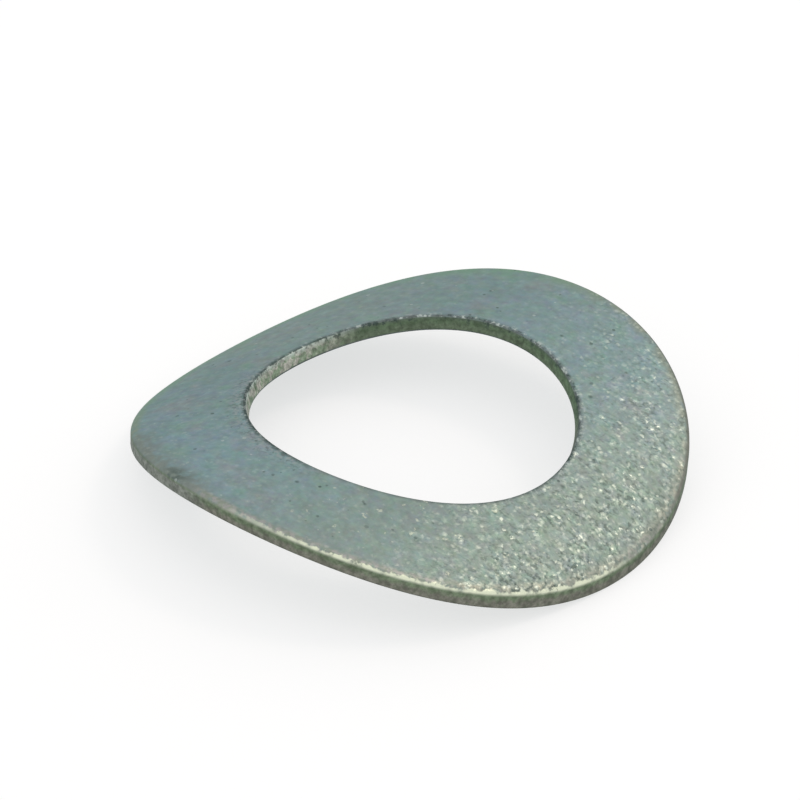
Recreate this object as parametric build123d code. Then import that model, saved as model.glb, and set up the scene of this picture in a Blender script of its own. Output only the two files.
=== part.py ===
"""Curved spring washer for an M8 bolt, type A: a flat ring stamped from spring steel and bent to an arch.

Units are millimetres. The bend runs along X, so the crown is the straight line over x = 0 and the two
low ends are at +X and -X. Z is up through the hole. The origin is on the surface that the washer rests
on, midway between its two ends.
"""
from build123d import *
from math import cos, pi, sin, tan
import os

# Driving dimensions.
outside_diameter = 15.0       # of the ring before it is bent
hole_diameter = 8.8           # clearance for an 8 mm bolt, also before the bend
sheet_thickness = 0.45
bend_radius = 13.2            # to the middle of the sheet
hole_offset = (0.08, -0.20)   # the hole is punched a little off centre

# Edges. The blanking die rolls the upper outer edge over, and the sheet tears free at the lower one,
# which is only broken. Tumbling rounds both edges of the hole a little.
rolled_edge = 0.12
broken_edge = 0.05
tumbled_edge = 0.05

outline_points = 24           # points on each closed curve, evenly spaced round the ring

inner_face_radius = bend_radius - sheet_thickness / 2
outer_face_radius = bend_radius + sheet_thickness / 2


def ring_angles():
    """Evenly spaced directions round the ring."""
    return [2 * pi * step / outline_points for step in range(outline_points)]


def bent_sheet():
    """The sheet, wider than the ring, bent round an axis that lies along Y at height 0."""
    sheet_width = outside_diameter + 2
    section = Circle(outer_face_radius) - Circle(inner_face_radius)
    upper_half = Pos(0, outer_face_radius / 2) * Rectangle(2 * outer_face_radius, outer_face_radius)
    return extrude(Plane.XZ * (section & upper_half), amount=sheet_width / 2, both=True)


def outside_plug():
    """A plug with the ring's outside. The bend shortens the ring's circle along X, and its wall is upright."""
    radius = outside_diameter / 2
    points = [
        (bend_radius * sin(radius * cos(angle) / bend_radius), radius * sin(angle))
        for angle in ring_angles()
    ]
    outline = make_face(Spline(points, periodic=True))
    return extrude(outline, amount=outer_face_radius + 1)


def hole_outline(height):
    """The hole's outline at one height, on walls that point at the bend axis."""
    radius = hole_diameter / 2
    shift_x, shift_y = hole_offset
    points = [
        (height * tan((radius * cos(angle) + shift_x) / bend_radius), radius * sin(angle) + shift_y)
        for angle in ring_angles()
    ]
    return Pos(0, 0, height) * make_face(Spline(points, periodic=True))


def hole_plug():
    """A plug with the hole's walls. The hole was pierced in the flat, so they stay square to the sheet."""
    below_the_sheet = inner_face_radius - 3
    above_the_sheet = outer_face_radius + 1
    return loft([hole_outline(below_the_sheet), hole_outline(above_the_sheet)], ruled=True)


def sheet_face(ring, radius):
    """The upper or the lower face of the ring, told apart by its radius of bend."""
    curved_faces = ring.faces().filter_by(GeomType.CYLINDER)
    return min(curved_faces, key=lambda face: abs(face.radius - radius))


def finish_edges(ring):
    """Roll the upper outer edge, break the lower one, and round both edges of the hole."""
    ring = fillet(sheet_face(ring, outer_face_radius).outer_wire().edges(), rolled_edge)
    ring = chamfer(sheet_face(ring, inner_face_radius).outer_wire().edges(), broken_edge)
    for radius in (outer_face_radius, inner_face_radius):
        ring = fillet(sheet_face(ring, radius).inner_wires()[0].edges(), tumbled_edge)
    return ring


def washer():
    """The whole washer, standing on its two low ends."""
    ring = finish_edges((bent_sheet() & outside_plug()) - hole_plug())
    return Pos(0, 0, -ring.bounding_box().min.Z) * ring


os.makedirs("parts", exist_ok=True)
export_step(washer(), "parts/curved_washer.step")
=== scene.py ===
import bpy
import numpy as np
from mathutils import Matrix, Vector


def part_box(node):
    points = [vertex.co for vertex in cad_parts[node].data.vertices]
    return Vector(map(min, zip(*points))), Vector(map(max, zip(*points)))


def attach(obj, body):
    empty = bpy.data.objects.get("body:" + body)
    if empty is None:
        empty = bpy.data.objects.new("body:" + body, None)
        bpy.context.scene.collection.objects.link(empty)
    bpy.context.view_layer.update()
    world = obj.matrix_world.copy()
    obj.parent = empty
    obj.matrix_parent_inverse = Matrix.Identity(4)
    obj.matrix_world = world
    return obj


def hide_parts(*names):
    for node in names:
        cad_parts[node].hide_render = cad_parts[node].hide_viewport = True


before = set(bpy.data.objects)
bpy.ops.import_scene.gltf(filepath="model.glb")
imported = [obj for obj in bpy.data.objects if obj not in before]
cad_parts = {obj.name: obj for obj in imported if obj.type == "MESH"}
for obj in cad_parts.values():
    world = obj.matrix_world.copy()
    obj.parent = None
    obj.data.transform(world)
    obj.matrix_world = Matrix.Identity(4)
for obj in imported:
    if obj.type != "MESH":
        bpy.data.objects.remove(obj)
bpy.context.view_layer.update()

MM = 0.001
SEED = 7
rng = np.random.default_rng(SEED)

# The washer's own sizes, in millimetres. The outside comes from the frame, and the rest is as in the
# part's source, but for the broken edge, a chamfer there, and the place where the hole is a little flat.
node_low, node_high = (np.array(corner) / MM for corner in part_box("curved_washer"))
OUTSIDE_RADIUS = (node_high[1] - node_low[1]) / 2
HOLE_RADIUS = 4.4
HOLE_OFFSET = (0.08, -0.20)
FLAT_DEGREES = 222             # where the hole is a little flat, round from +X
FLAT_WIDTH = 25                # how far to each side the flat reaches before it fades, in degrees
FLAT_ABOVE, FLAT_BELOW = 0.08, 0.12      # how far in the hole's edge is there, on each face
SHEET = 0.45
BEND_RADIUS = 13.2
ROLLED_EDGE = 0.12
BROKEN_EDGE = 0.085
TUMBLED_EDGE = 0.05
UPPER_RADIUS = BEND_RADIUS + SHEET / 2
LOWER_RADIUS = BEND_RADIUS - SHEET / 2
AXIS_HEIGHT = node_high[2] - UPPER_RADIUS     # of the bend axis, which lies under the crown

# How finely the surface is cut.
STEPS_ROUND = 960
ROWS_UPPER = 58
ROWS_LOWER = 14
ROWS_WALL = 7
ROWS_ROLL = 6
ROWS_EDGE = 3

# Dents in the upper face: x, y, radius and depth. The first few are set, the rest fall at random.
SET_DENTS = [
    (3.82, -4.64, 0.10, 0.016),
    (3.32, -4.93, 0.08, 0.012),
    (2.20, -4.74, 0.08, 0.012),
    (0.58, -5.39, 0.11, 0.016),
    (-0.04, -5.59, 0.09, 0.013),
    (-0.31, -5.63, 0.08, 0.012),
    (0.03, -5.37, 0.06, 0.008),
    (0.19, -5.06, 0.07, 0.010),
    (1.20, -4.97, 0.07, 0.010),
    (-1.23, -4.97, 0.06, 0.008),
    (-1.45, -4.60, 0.07, 0.010),
    (-2.51, -4.37, 0.06, 0.010),
    (-3.05, -3.91, 0.07, 0.012),
    (3.21, 3.47, 0.12, 0.018),
]
RANDOM_DENTS = 26

# Parts of the rim that look different, in degrees from +X towards +Y: from, to, and soft ends.
RIM_SPANS = {
    "warm": (-96, 32, 8),
    "olive": (-125, 75, 30),
    "dirty": (25, 85, 10),
    "brown": (-126, -100, 6),
    "low_wall": (-180, -101, 7),
}
GRAIN_PER_MM = 7.8     # how many grains of the tumbled plate there are to a millimetre

FLOOR_MATT = 0.36      # the share of white that the floor gives back as a matt surface
FLOOR_HALF = 3.0       # half the floor's side, in metres
SKY_FILL = 0.95        # the world's light on matt surfaces

CAMERA_LENS = 149.2
CAMERA_DIRECTION = (37.08, 31.96)     # azimuth and elevation, in degrees
CAMERA_DISTANCE = 86.8                # in millimetres, from the crown
CAMERA_ROLL = -3.34
CAMERA_ASIDE = (-0.366, -0.082, 0)    # from the crown to the middle of the picture, across and up


# ---------------------------------------------------------------------------------------- shape

def on_arch(radius, bend_angle, y):
    """Points on a cylinder round the bend axis, in millimetres in the frame."""
    return np.stack([radius * np.sin(bend_angle), y, AXIS_HEIGHT + radius * np.cos(bend_angle)], -1)


def hole_line(angle, flat):
    """Where the hole's wall meets a face: its bend angle and its y. The flat is how far it is in there."""
    radius = HOLE_RADIUS - flat * np.exp(-((np.degrees(angle) - FLAT_DEGREES) / FLAT_WIDTH) ** 2)
    along = radius * np.cos(angle) + HOLE_OFFSET[0]
    return along / BEND_RADIUS, radius * np.sin(angle) + HOLE_OFFSET[1]


def outside_line(angle, radius):
    """Where the upright outside wall meets the face of this radius."""
    reach = BEND_RADIUS * np.sin(OUTSIDE_RADIUS * np.cos(angle) / BEND_RADIUS)
    return np.arcsin(reach / radius), OUTSIDE_RADIUS * np.sin(angle)


def unit(vectors):
    return vectors / np.linalg.norm(vectors, axis=-1, keepdims=True)


def corner_rows(corner, along_face, along_wall, radius, rows, from_face):
    """A rounded corner between a face and a wall, without its two ends."""
    turns = np.linspace(0, np.pi / 2, rows + 2)[1:-1]
    if not from_face:
        turns = turns[::-1]
    return [
        corner + radius * ((1 - np.sin(turn)) * along_face + (1 - np.cos(turn)) * along_wall)
        for turn in turns
    ]


def face_rows(radius, start, end, rows, pull_in):
    """Rows across one face of the sheet, from one outline to the other, short of the rounded corners."""
    width = np.hypot((end[0] - start[0]) * BEND_RADIUS, end[1] - start[1])
    first, last = pull_in[0] / width, 1 - pull_in[1] / width
    found = []
    for share in np.linspace(0, 1, rows):
        mix = first + (last - first) * share
        turn, y = (low + (high - low) * mix for low, high in zip(start, end))
        found.append(on_arch(radius, turn, y))
    return found


def wall_rows(top, bottom, rows, pull_in):
    """Rows down a wall, short of the rounded corners."""
    height = np.linalg.norm(bottom - top, axis=-1, keepdims=True)
    down = (bottom - top) / height
    return [
        top + down * (pull_in[0] + (height - pull_in[0] - pull_in[1]) * share)
        for share in np.linspace(0, 1, rows)
    ]


def washer_rows(angle):
    """Closed rings of points, in order round the section: over the top, down the outside, back below."""
    hole_up, hole_down = (hole_line(angle, flat) for flat in (FLAT_ABOVE, FLAT_BELOW))
    rim_up, rim_down = (outside_line(angle, radius) for radius in (UPPER_RADIUS, LOWER_RADIUS))
    hole_top, hole_bottom = on_arch(UPPER_RADIUS, *hole_up), on_arch(LOWER_RADIUS, *hole_down)
    rim_top, rim_bottom = on_arch(UPPER_RADIUS, *rim_up), on_arch(LOWER_RADIUS, *rim_down)
    outward_top, outward_bottom = unit(rim_top - hole_top), unit(rim_bottom - hole_bottom)
    down, up = unit(rim_bottom - rim_top), unit(hole_top - hole_bottom)
    upper_ends, lower_ends = (TUMBLED_EDGE, ROLLED_EDGE), (BROKEN_EDGE, TUMBLED_EDGE)
    wall_ends, bore_ends = (ROLLED_EDGE, BROKEN_EDGE), (TUMBLED_EDGE, TUMBLED_EDGE)
    zones = [
        ("upper", face_rows(UPPER_RADIUS, hole_up, rim_up, ROWS_UPPER, upper_ends)),
        ("roll", corner_rows(rim_top, -outward_top, down, ROLLED_EDGE, ROWS_ROLL, True)),
        ("outside", wall_rows(rim_top, rim_bottom, ROWS_WALL, wall_ends)),
        ("outside", corner_rows(rim_bottom, -outward_bottom, -down, BROKEN_EDGE, ROWS_EDGE, False)),
        ("lower", face_rows(LOWER_RADIUS, rim_down, hole_down, ROWS_LOWER, lower_ends)),
        ("lip", corner_rows(hole_bottom, outward_bottom, up, TUMBLED_EDGE, ROWS_EDGE, True)),
        ("bore", wall_rows(hole_bottom, hole_top, ROWS_WALL, bore_ends)),
        ("lip", corner_rows(hole_top, outward_top, -up, TUMBLED_EDGE, ROWS_EDGE, False)),
    ]
    kinds = np.array([kind for kind, rows in zones for _ in rows])
    return np.array([row for _, rows in zones for row in rows]), kinds


def random_dents():
    """Small dents anywhere on the upper face, as x, y, radius and depth."""
    angle = rng.uniform(0, 2 * np.pi, RANDOM_DENTS)
    out = rng.uniform(HOLE_RADIUS + 0.5, OUTSIDE_RADIUS - 0.5, RANDOM_DENTS)
    reach = BEND_RADIUS * np.sin(out * np.cos(angle) / BEND_RADIUS)
    radius = rng.uniform(0.05, 0.11, RANDOM_DENTS)
    return np.stack([reach, out * np.sin(angle), radius, radius * 0.14], -1)


def press_dents(rows, kinds):
    """Push the upper face in at each dent, towards the bend axis. Gives how deep in its dent a point is."""
    upper = rows[kinds == "upper"]
    inward = -unit(upper * (1, 0, 1) - (0, 0, AXIS_HEIGHT))
    pressed = np.zeros(rows.shape[:2])
    for x, y, radius, depth in [*SET_DENTS, *random_dents()]:
        off = np.hypot(upper[..., 0] - x, upper[..., 1] - y) / radius
        bowl = np.clip(1 - off ** 2, 0, None) ** 2
        upper = upper + inward * (bowl * depth)[..., None]
        pressed[kinds == "upper"] = np.maximum(pressed[kinds == "upper"], bowl)
    rows[kinds == "upper"] = upper
    return pressed


def ring_faces(rows, steps):
    """Four-sided faces between each row and the next, closed both ways."""
    row = np.arange(rows)[:, None]
    step = np.arange(steps)[None, :]
    next_row, next_step = (row + 1) % rows, (step + 1) % steps
    corners = ((row, step), (next_row, step), (next_row, next_step), (row, next_step))
    return np.stack([first * steps + second for first, second in corners], -1).reshape(-1, 4)


def surface_marks(rows, kinds, angle):
    """For each point: how far in mm it is from the two upper corners, and which zone it lies in."""
    rim = on_arch(UPPER_RADIUS, *outside_line(angle, UPPER_RADIUS))
    hole = on_arch(UPPER_RADIUS, *hole_line(angle, FLAT_ABOVE))
    from_rim, from_hole = (np.linalg.norm(rows - line, axis=-1) for line in (rim, hole))
    outside, bore, lip, under = ((kinds == kind)[:, None] for kind in ("outside", "bore", "lip", "lower"))
    turn = np.zeros(rows.shape[:2])
    turn[kinds == "roll"] = np.linspace(0, 1, ROWS_ROLL + 1)[1:, None] * 0.95
    turn[kinds == "outside"] = 1.0
    marks = {
        "from_rim": from_rim,
        "from_hole": from_hole,
        "depth": (outside * from_rim + bore * from_hole) / SHEET,
        "outside": outside,
        "bore": bore,
        "lip": lip,
        "under": under,
        "turn": turn,
    }
    return {name: np.broadcast_to(values, rows.shape[:2]) for name, values in marks.items()}


def build_washer():
    angle = np.linspace(0, 2 * np.pi, STEPS_ROUND, endpoint=False)
    rows, kinds = washer_rows(angle)
    marks = surface_marks(rows, kinds, angle)
    marks["dent"] = press_dents(rows, kinds)
    mesh = bpy.data.meshes.new("washer_skin")
    mesh.from_pydata((rows.reshape(-1, 3) * MM).tolist(), [], ring_faces(len(rows), STEPS_ROUND).tolist())
    mesh.validate()
    mesh.shade_smooth()
    for name, values in marks.items():
        layer = mesh.attributes.new(name, "FLOAT", "POINT")
        layer.data.foreach_set("value", values.ravel().astype(np.float32))
    washer = bpy.data.objects.new("washer_skin", mesh)
    bpy.context.scene.collection.objects.link(washer)
    return washer


# ---------------------------------------------------------------------------------- shader nodes

class Graph:
    """A material's or world's nodes. An input is a number, a colour or another node's output."""

    def __init__(self, owner):
        owner.use_nodes = True
        self.nodes, self.links = owner.node_tree.nodes, owner.node_tree.links
        self.nodes.clear()

    def add(self, kind, setup=None, **inputs):
        node = self.nodes.new("ShaderNode" + kind)
        for name, value in (setup or {}).items():
            setattr(node, name, value)
        for name, value in inputs.items():
            key = int(name[2:]) if name.startswith("in") else name.replace("_", " ")
            socket = node.inputs[key]
            if isinstance(value, bpy.types.NodeSocket):
                self.links.new(value, socket)
            else:
                socket.default_value = value
        return node

    def math(self, operation, first, second=0.0):
        return self.add("Math", {"operation": operation}, in0=first, in1=second).outputs[0]

    def product(self, first, *others):
        for other in others:
            first = self.math("MULTIPLY", first, other)
        return first

    def vector(self, operation, first, second):
        return self.add("VectorMath", {"operation": operation}, in0=first, in1=second).outputs[0]

    def scale(self, vector, factor):
        return self.add("VectorMath", {"operation": "SCALE"}, in0=vector, Scale=factor).outputs[0]

    def dot(self, first, second):
        return self.add("VectorMath", {"operation": "DOT_PRODUCT"}, in0=first, in1=second).outputs["Value"]

    def blend(self, share, first, second, how="MIX"):
        node = self.add("Mix", {"data_type": "RGBA", "blend_type": how}, in0=share, in6=first, in7=second)
        return node.outputs[2]

    def ramp(self, value, low, high, start=0.0, end=1.0):
        """Straight from start at low to end at high, and level outside."""
        return self.add("MapRange", None, Value=value, in1=low, in2=high, in3=start, in4=end).outputs[0]

    def span(self, value, low, high, soft):
        """1 from low to high, and soft ends outside."""
        rise = self.ramp(value, low - soft, low)
        return self.product(rise, self.ramp(value, high, high + soft, 1.0, 0.0))

    def noise(self, place, per_mm, detail=2.0, roughness=0.5):
        return self.add("TexNoise", None, Vector=place, Scale=per_mm / MM, Detail=detail,
                        Roughness=roughness)

    def patches(self, place, per_mm, low, high, start=0.0, end=1.0):
        """Noise, spread between two values."""
        return self.ramp(self.noise(place, per_mm, 3.0).outputs["Fac"], low, high, start, end)

    def cells(self, place, per_mm):
        return self.add("TexVoronoi", None, Vector=place, Scale=per_mm / MM)

    def split(self, color):
        return self.add("SeparateColor", None, Color=color).outputs

    def attribute(self, name):
        return self.add("Attribute", {"attribute_name": name}).outputs["Fac"]


# ------------------------------------------------------------------------------------- material

TEAL = (0.220, 0.305, 0.302, 1)
BLUE_GREY = (0.228, 0.300, 0.318, 1)
LEAF = (0.218, 0.320, 0.278, 1)
ROSE = (0.250, 0.297, 0.302, 1)
OLIVE = (0.230, 0.286, 0.254, 1)
MOSS = (0.268, 0.330, 0.312, 1)
COOLER = (1.02, 1.045, 1.075, 1)       # a factor
PALE_GLINT = (0.68, 0.74, 0.63, 1)
DULL_SHADE = (0.120, 0.150, 0.130, 1)
RIM_GREEN = (0.213, 0.343, 0.252, 1)
RIM_OLIVE = (0.255, 0.285, 0.240, 1)
RIM_WARM = (0.345, 0.340, 0.330, 1)
RIM_CREAM = (0.390, 0.395, 0.320, 1)
BURNISHED_HIGHLIGHT = (0.72, 0.76, 0.59, 1)
TIP_BROWN = (0.212, 0.243, 0.226, 1)
TIP_WALL = (0.276, 0.292, 0.268, 1)
SMUDGE = (0.120, 0.155, 0.140, 1)
LIP = (0.125, 0.145, 0.140, 1)
LIP_DARK = (0.055, 0.080, 0.072, 1)
WALL_GREEN = (0.175, 0.225, 0.150, 1)
WALL_BROWN = (0.203, 0.202, 0.172, 1)
WALL_DARK = (0.097, 0.135, 0.080, 1)
BORE_OLIVE = (0.115, 0.183, 0.108, 1)
BORE_BROWN = (0.170, 0.170, 0.152, 1)
BORE_BEIGE = (0.535, 0.525, 0.475, 1)
BORE_GREEN = (0.280, 0.355, 0.260, 1)
PIT = (0.085, 0.120, 0.110, 1)
SPECK = (0.470, 0.530, 0.500, 1)
SCUFF = (0.330, 0.345, 0.345, 1)
CHIP = (0.600, 0.690, 0.630, 1)


def find_zones(g, place):
    """Where on the washer a point is, as values from 0 to 1, besides the marks kept in the mesh."""
    names = ("from_rim", "from_hole", "depth", "outside", "bore", "lip", "under", "turn", "dent")
    zone = {name: g.attribute(name) for name in names}
    along, across = (g.add("SeparateXYZ", None, Vector=place).outputs[axis] for axis in "XY")
    degrees = g.product(g.math("ARCTAN2", across, along), 180 / np.pi)
    zone["across"] = g.ramp(across, -OUTSIDE_RADIUS * MM, OUTSIDE_RADIUS * MM)
    # The span of the rolled edge that carries its bright line: wear and a painted highlight.
    zone["worn"] = g.product(g.ramp(degrees, -92, -70), g.ramp(degrees, -7, 2, 1.0, 0.0))
    zone.update({name: g.span(degrees, *span) for name, span in RIM_SPANS.items()})
    near_end = g.product(g.ramp(along, -1.0 * MM, -2.5 * MM), g.ramp(zone["across"], 0.50, 0.40))
    zone["low_bore"] = g.math("MAXIMUM", g.ramp(along, -4.3 * MM, -3.6 * MM, 1.0, 0.0), near_end)
    zone["chipped"] = g.math("MAXIMUM", g.ramp(zone["across"], 0.25, 0.55, 0.2, 0.9),
                             g.ramp(along, -0.5 * MM, -2.5 * MM, 0.0, 0.8))
    zone["scuffed"] = g.product(g.ramp(along, 1.2 * MM, -0.4 * MM), g.ramp(zone["across"], 0.50, 0.36))
    zone["lip_reach"] = g.ramp(along, -3.2 * MM, -2.2 * MM, 0.08, 0.17)
    zone["light_bore"] = g.ramp(along, 0.2 * MM, 2.4 * MM, 1.0, 1.45)
    zone["brown_bore"] = g.ramp(along, 3.2 * MM, 4.0 * MM, 0.0, 0.9)
    # The far side of the face, which the colour brightens as painted light.
    zone["far"] = g.product(g.ramp(zone["across"], 0.3, 1.0), g.ramp(along, -1.5 * MM, 1.5 * MM))
    zone["mossy"] = g.product(g.ramp(zone["across"], 0.40, 0.55), g.ramp(along, -2.0 * MM, -4.0 * MM))
    zone["yellowed"] = g.ramp(g.math("SUBTRACT", along, g.product(across, 0.35)), 1.0 * MM, 5.0 * MM)
    zone["cool"] = g.product(g.ramp(zone["across"], 0.45, 0.15), g.ramp(along, 6.0 * MM, 4.0 * MM))
    zone["wall"] = g.math("MAXIMUM", zone["outside"], zone["bore"])
    zone["face"] = g.math("SUBTRACT", 1.0, g.math("MAXIMUM", zone["wall"], zone["under"]))
    # Where pale glints and dull shade are painted into the grain, and where grains lean most: the +X end,
    # in patches, and a little along the near side.
    end = g.ramp(g.math("ADD", along, g.product(across, 0.35)), 1.0 * MM, 6.0 * MM)
    patchy = g.product(g.math("POWER", end, 1.5), g.patches(place, 1.8, 0.40, 0.60, 0.4, 1.2),
                       g.ramp(zone["across"], 0.3, 0.7, 1.33, 0.62))
    near_side = g.ramp(zone["across"], 0.0, 1.0, 0.15, 0.08)
    zone["tumbled"] = g.product(g.math("ADD", patchy, near_side), g.math("SUBTRACT", 1.0, zone["wall"]))
    return zone


def blotches(g, place, zone):
    """Tint in soft blotches near a millimetre across, with finer ones over them."""
    tints = g.split(g.noise(place, 1.0, 3.0).outputs["Color"])
    color = g.blend(g.ramp(tints[0], 0.42, 0.62), TEAL, BLUE_GREY)
    color = g.blend(g.ramp(tints[1], 0.52, 0.72), color, LEAF)
    color = g.blend(g.ramp(tints[2], 0.54, 0.68), color, ROSE)
    color = g.blend(g.product(zone["yellowed"], 0.9), color, OLIVE)
    color = g.blend(g.product(zone["mossy"], 0.5), color, MOSS)
    color = g.vector("MULTIPLY", color, g.blend(zone["cool"], (1, 1, 1, 1), COOLER))
    color = g.scale(color, g.patches(place, 3.5, 0.3, 0.7, 0.91, 1.09))
    # Painted light: the far side is made up to 9 percent brighter.
    color = g.scale(color, g.ramp(zone["far"], 0.0, 1.0, 1.00, 1.09))
    color = g.blend(0.12, color, g.noise(place, 3.0).outputs["Color"], "OVERLAY")
    return g.blend(0.09, color, g.noise(place, 8.0).outputs["Color"], "OVERLAY")


def rim_band(g, place, zone, color):
    """A band along the rim: green or olive, a warm tint on the rolled edge that is also a painted
    highlight, and brown at one end.
    """
    reach = g.product(g.ramp(zone["across"], 0.15, 0.5, 0.38, 0.70),
                      g.ramp(zone["olive"], 0.0, 1.0, 1.0, 0.65))
    wide = g.product(g.ramp(zone["from_rim"], 0.15, reach, 1.0, 0.0),
                     g.patches(place, 2.5, 0.38, 0.56, 0.3, 1.0))
    color = g.blend(wide, color, g.blend(zone["olive"], RIM_GREEN, RIM_OLIVE))
    # A warm tint on the rolled edge that is also a painted highlight, paler still where glints are painted.
    warm = g.product(zone["warm"], g.ramp(zone["from_rim"], 0.12, 0.30, 1.0, 0.0))
    warm = g.product(warm, g.patches(place, 7.0, 0.44, 0.60, 0.0, 0.9))
    color = g.blend(warm, color, g.blend(g.ramp(zone["tumbled"], 0.3, 0.8), RIM_WARM, RIM_CREAM))
    brown = g.product(zone["brown"], g.ramp(zone["from_rim"], 0.15, 0.8, 1.0, 0.0))
    return g.blend(g.product(brown, g.patches(place, 4.0, 0.38, 0.56, 0.4, 1.0)), color, TIP_BROWN)


def dark_smudge(g, place, zone, color):
    """A smudge on the upper side near the rim, longer along X."""
    squeezed = g.vector("MULTIPLY", place, (0.6, 1.0, 0.0))
    from_smudge = g.vector("SUBTRACT", squeezed, (-1.20 * MM, -7.1 * MM, 0.0))
    away = g.add("VectorMath", {"operation": "LENGTH"}, in0=from_smudge).outputs["Value"]
    smudge = g.product(g.ramp(away, 0.10 * MM, 0.42 * MM, 1.0, 0.0),
                       g.patches(place, 4.0, 0.35, 0.6, 0.3, 1.0))
    return g.blend(g.product(smudge, g.math("SUBTRACT", 1.0, zone["under"])), color, SMUDGE)


def grain(g, place, zone, color):
    """The tumbled plate's grain: pale flecks on the high spots, painted in as glints, and dull flecks in
    the hollows, painted in as shade, as grains that each lean their own way. The palest lean far, are
    smoother and catch the lamp.
    Gives the colour, the grain's height, the leaning normal and how steep each grain is."""
    fleck = g.noise(place, GRAIN_PER_MM, 1.5).outputs["Fac"]
    warp = g.scale(g.noise(place, 7.0).outputs["Color"], 0.16 * MM)
    cell = g.cells(g.vector("ADD", place, warp), GRAIN_PER_MM)
    pick = g.split(cell.outputs["Color"])
    spot = g.product(g.ramp(cell.outputs["Distance"], 0.15, 0.60, 1.0, 0.0), zone["tumbled"])
    dull = g.product(zone["tumbled"], g.ramp(fleck, 0.46, 0.34, 0.0, 0.7))
    pale = g.product(zone["tumbled"], g.ramp(fleck, 0.57, 0.70, 0.0, 0.35))
    pale = g.math("MAXIMUM", pale, g.product(spot, g.ramp(pick[0], 0.62, 0.95, 0.0, 1.0)))
    # The pale flecks are painted glints and the dull flecks are painted shade.
    color = g.blend(pale, g.blend(dull, color, DULL_SHADE), PALE_GLINT)
    steep = g.product(g.math("POWER", pick[0], 3.0), zone["tumbled"])
    lean = g.add("CombineXYZ", None, X=g.math("SUBTRACT", pick[1], 0.5), Y=g.math("SUBTRACT", pick[2], 0.5))
    lean = g.scale(lean.outputs[0], g.math("ADD", g.product(steep, 0.40), g.product(zone["tumbled"], 0.12)))
    normal = g.vector("ADD", g.add("NewGeometry").outputs["Normal"], lean)
    normal = g.add("VectorMath", {"operation": "NORMALIZE"}, in0=normal).outputs[0]
    return color, g.math("SUBTRACT", pale, dull), normal, steep


def pits(g, place, zone, color):
    """Specks of dirt in tiny pits, in some of the cells, and a darker colour in the dents. Gives colour and
    pits.
    """
    spot = g.cells(place, 2.8)
    pick = g.split(spot.outputs["Color"])
    near = g.math("LESS_THAN", spot.outputs["Distance"], g.ramp(pick[1], 0.0, 1.0, 0.05, 0.17))
    pit = g.product(near, g.math("LESS_THAN", pick[0], 0.28))
    speck = g.product(near, g.math("GREATER_THAN", pick[0], 0.86))
    color = g.blend(g.product(pit, g.ramp(pick[2], 0.0, 1.0, 0.2, 0.8)), color, PIT)
    color = g.blend(g.product(speck, 0.5), color, SPECK)
    return g.blend(g.ramp(zone["dent"], 0.3, 0.9, 0.0, 0.75), color, PIT), pit


def walls(g, place, zone, color):
    """Sheared and greener above, torn and browner below. The hole's wall is darker, but for its low end,
    which is a mottled beige and green, its beige a painted highlight."""
    mottle = g.noise(place, 4.0, 3.0, 0.65).outputs["Fac"]
    down = g.math("ADD", zone["depth"], g.product(mottle, 0.8))
    torn = g.blend(g.ramp(down, 0.75, 1.05), WALL_GREEN, WALL_BROWN)
    torn = g.blend(g.product(zone["bore"], 0.65), torn, g.scale(BORE_OLIVE[:3], zone["light_bore"]))
    torn = g.blend(g.product(zone["bore"], zone["brown_bore"]), torn, BORE_BROWN)
    down = g.math("ADD", g.product(zone["depth"], 0.1), mottle)
    # The low end of the hole's wall is painted light: a beige highlight mottled with green.
    torn = g.blend(g.product(zone["bore"], zone["low_bore"]), torn,
                   g.blend(g.ramp(down, 0.52, 0.62), BORE_BEIGE, BORE_GREEN))
    # Painted light: the outside wall near the -X tip is made lighter, making up for the shadowed floor it
    # reflects.
    torn = g.blend(g.product(zone["outside"], zone["low_wall"], 0.9), torn, TIP_WALL)
    torn = g.scale(torn, g.patches(place, 6.0, 0.35, 0.65, 0.70, 1.30))
    streaks = g.noise(place, 14.0, 3.0, 0.6).outputs["Fac"]
    torn = g.blend(g.ramp(streaks, 0.45, 0.7, 0.0, 0.5), torn, WALL_DARK)
    share = g.math("MAXIMUM", zone["wall"], g.ramp(zone["turn"], 0.60, 1.0, 0.0, 0.9))
    return g.blend(share, color, torn)


def scuffed_band(g, place, zone, color):
    """Pale and dark scuffs on the face beside the hole, near its low end."""
    scuffs = g.noise(place, 9.0, 2.0, 0.6).outputs["Fac"]
    band = g.product(g.ramp(zone["from_hole"], 0.20, 0.65, 1.0, 0.0), zone["scuffed"], zone["face"])
    color = g.blend(g.product(band, g.ramp(scuffs, 0.50, 0.64, 0.0, 0.7)), color, SCUFF)
    return g.blend(g.product(band, g.ramp(scuffs, 0.46, 0.36, 0.0, 0.7)), color, LIP)


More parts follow.
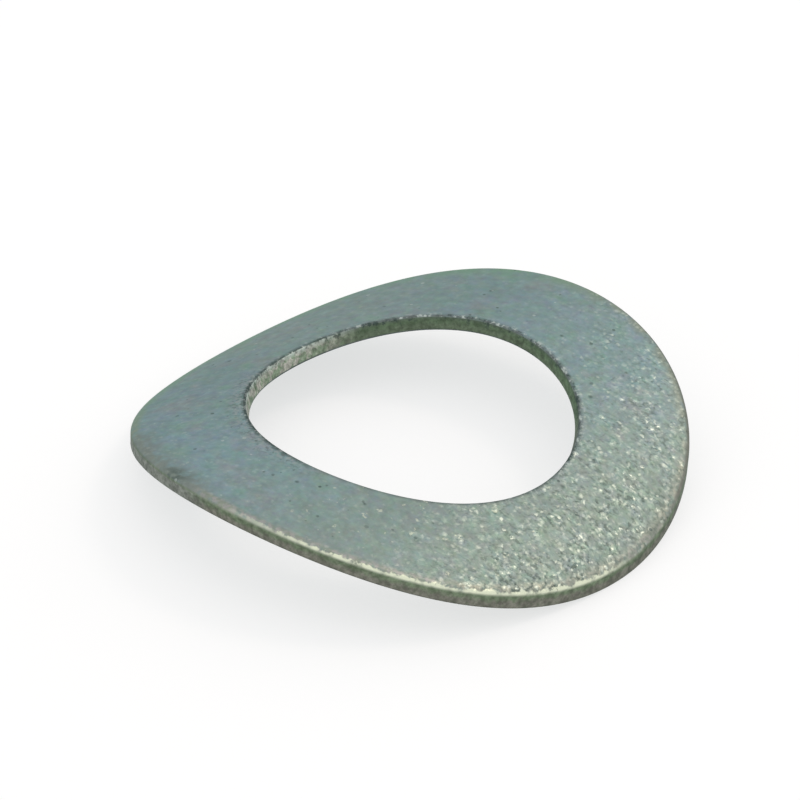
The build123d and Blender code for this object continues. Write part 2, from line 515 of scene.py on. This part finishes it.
def hole_lip(g, place, zone, color):
    """The hole's upper corner: a darker line of painted shade, chipped pale and dark in spots on both sides
    of it.
    """
    line = g.math("MAXIMUM", zone["lip"], g.ramp(zone["from_hole"], 0.05, 0.15, 0.6, 0.0))
    line = g.product(line, g.patches(place, 3.0, 0.3, 0.6, 0.6, 1.0))
    near_line = g.product(g.ramp(zone["from_hole"], 0.05, zone["lip_reach"], 1.0, 0.0), zone["scuffed"])
    line = g.math("MAXIMUM", line, near_line)
    darker = g.math("MAXIMUM", zone["low_bore"], zone["scuffed"])
    # The line along the hole's corner is painted shade, darkest at the hole's low end and beside the
    # scuffs.
    color = g.blend(line, color, g.blend(darker, LIP, LIP_DARK))
    color = scuffed_band(g, place, zone, color)
    spots = g.noise(place, 5.0, 3.0, 0.7).outputs["Fac"]
    pale = g.product(g.ramp(zone["from_hole"], 0.07, 0.22, 1.0, 0.0), g.ramp(spots, 0.54, 0.65))
    color = g.blend(g.product(pale, zone["chipped"], zone["face"]), color, SPECK)
    chip = g.product(g.ramp(zone["from_hole"], 0.06, 0.18, 1.0, 0.0), g.ramp(spots, 0.42, 0.54, 0.2, 0.9))
    color = g.blend(g.product(chip, zone["bore"], zone["low_bore"]), color, CHIP)
    reach = g.ramp(zone["bore"], 0.0, 1.0, 0.12, 0.28)
    dark = g.product(g.ramp(zone["from_hole"], 0.05, reach, 1.0, 0.0), g.ramp(spots, 0.46, 0.38))
    dark = g.product(dark, zone["chipped"], g.ramp(zone["low_bore"], 0.0, 1.0, 1.0, 0.6))
    return g.blend(dark, color, LIP_DARK)


def worn_line(g, place, zone, color):
    """The bright line along the rolled edge, partly wear and partly a painted highlight, and dirt on the
    roll elsewhere.
    """
    roll = g.product(g.ramp(zone["turn"], 0.10, 0.35, 0.0, 0.8),
                     g.ramp(zone["turn"], 0.85, 1.00, 1.0, 0.0))
    color = g.blend(g.product(roll, zone["dirty"]), color, WALL_BROWN)
    wander = g.ramp(g.noise(place, 4.0, 3.0, 0.7).outputs["Fac"], 0.3, 0.7, -0.40, 0.35)
    crest = g.ramp(g.math("ADD", zone["turn"], wander), 0.25, 0.50)
    crest = g.product(crest, g.ramp(zone["turn"], 0.68, 1.00, 1.0, 0.0))
    crest = g.product(crest, zone["worn"], g.patches(place, 4.0, 0.36, 0.54, 0.45, 1.0))
    # The crest is paler from wear and from a painted highlight.
    return g.blend(crest, color, BURNISHED_HIGHLIGHT)


def zinc_plate():
    """Thin passivated zinc on tumbled steel."""
    material = bpy.data.materials.new("zinc_plate")
    g = Graph(material)
    place = g.add("TexCoord").outputs["Object"]
    zone = find_zones(g, place)
    color = rim_band(g, place, zone, blotches(g, place, zone))
    color = dark_smudge(g, place, zone, color)
    color, height, normal, steep = grain(g, place, zone, color)
    color, pit = pits(g, place, zone, color)
    color = hole_lip(g, place, zone, walls(g, place, zone, color))
    color = worn_line(g, place, zone, color)
    fine = g.noise(place, 12.0, 3.0, 0.6).outputs["Fac"]
    fine = g.product(fine, g.ramp(zone["wall"], 0.0, 1.0, 0.6, 5.0))
    relief = g.math("ADD", g.math("SUBTRACT", fine, pit), g.product(height, 1.5))
    bump = g.add("Bump", None, Distance=0.005 * MM, Height=relief, Normal=normal)
    roughness = g.math("ADD", g.patches(place, 3.0, 0.3, 0.7, 0.44, 0.50), g.product(zone["wall"], 0.06))
    roughness = g.math("SUBTRACT", roughness, g.product(steep, 0.14))
    shader = g.add("BsdfPrincipled", None, Base_Color=color, Metallic=1.0, Roughness=roughness,
                   Normal=bump.outputs[0], Specular_Tint=(0.55, 0.60, 0.60, 1))
    g.add("OutputMaterial", None, Surface=shader.outputs[0])
    return material


# ---------------------------------------------------------------------------------- surroundings

def seen_or_mirrored(g):
    """1 for rays from the camera, a reflection or a transmission, 0 for the light on matt surfaces."""
    rays = g.add("LightPath").outputs
    either = g.math("MAXIMUM", rays["Is Camera Ray"], rays["Is Glossy Ray"])
    return g.math("MAXIMUM", either, rays["Is Transmission Ray"])


def floor_material():
    """Matt and pale, lifted to white where it is seen, and still dimmed by the washer's shadow."""
    material = bpy.data.materials.new("pale_floor")
    g = Graph(material)
    matt = g.add("BsdfDiffuse", None, Color=(FLOOR_MATT, FLOOR_MATT, FLOOR_MATT, 1))
    lift = g.add("Emission", None, Strength=g.product(seen_or_mirrored(g), 1 - FLOOR_MATT))
    both = g.add("AddShader", None, in0=matt.outputs[0], in1=lift.outputs[0])
    g.add("OutputMaterial", None, Surface=both.outputs[0])
    return material


def add_floor():
    mesh = bpy.data.meshes.new("floor")
    signs = ((-1, -1), (1, -1), (1, 1), (-1, 1))
    mesh.from_pydata([(x * FLOOR_HALF, y * FLOOR_HALF, 0) for x, y in signs], [], [(0, 1, 2, 3)])
    floor = bpy.data.objects.new("floor", mesh)
    bpy.context.scene.collection.objects.link(floor)
    mesh.materials.append(floor_material())


def white_world():
    """White where it is seen or mirrored, and a little dimmer on matt surfaces."""
    world = bpy.data.worlds.new("studio")
    bpy.context.scene.world = world
    g = Graph(world)
    strength = g.ramp(seen_or_mirrored(g), 0.0, 1.0, SKY_FILL, 1.0)
    back = g.add("Background", None, Color=(1, 1, 1, 1), Strength=strength)
    g.add("OutputWorld", None, Surface=back.outputs[0])


def aim(thing, place, target, roll=0.0):
    """Put a lamp or camera at a place, looking at a target."""
    back = (place - target).normalized()
    right = Vector((0, 0, 1)).cross(back).normalized()
    up = back.cross(right)
    axes = (right * np.cos(roll) - up * np.sin(roll), right * np.sin(roll) + up * np.cos(roll), back)
    thing.matrix_world = Matrix.Translation(place) @ Matrix(axes).transposed().to_4x4()


def direction(azimuth, elevation):
    """From the object, with azimuth 0 along -Y and 90 along +X, in degrees."""
    azimuth, elevation = np.radians(azimuth), np.radians(elevation)
    level = np.cos(elevation)
    return Vector((np.sin(azimuth) * level, -np.cos(azimuth) * level, np.sin(elevation)))


CROWN = Vector((0, 0, (node_high[2] - SHEET / 2) * MM))


def add_camera():
    data = bpy.data.cameras.new("camera")
    data.sensor_width = 36
    data.lens = CAMERA_LENS
    data.clip_start = 0.005
    data.clip_end = 20
    camera = bpy.data.objects.new("camera", data)
    bpy.context.scene.collection.objects.link(camera)
    bpy.context.scene.camera = camera
    roll = np.radians(CAMERA_ROLL)
    place = CROWN + direction(*CAMERA_DIRECTION) * CAMERA_DISTANCE * MM
    aim(camera, place, CROWN, roll)
    aside = camera.matrix_world.to_3x3() @ Vector(CAMERA_ASIDE) * MM
    aim(camera, place, CROWN + aside, roll)


def add_softbox(name, azimuth, elevation, distance, size, power, color):
    data = bpy.data.lights.new(name, "AREA")
    data.shape = "RECTANGLE"
    data.size, data.size_y = size
    data.energy = power
    data.color = color
    lamp = bpy.data.objects.new(name, data)
    bpy.context.scene.collection.objects.link(lamp)
    aim(lamp, CROWN + direction(azimuth, elevation) * distance, CROWN)


# ------------------------------------------------------------------------------------- assembly

washer = build_washer()
washer.data.materials.append(zinc_plate())
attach(washer, "root")
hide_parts("curved_washer")

add_floor()
white_world()
add_camera()
add_softbox("overhead", 155, 55, 0.25, (0.06, 0.06), 0.068, (1.0, 0.84, 0.74))

bpy.context.scene.view_settings.view_transform = "Standard"
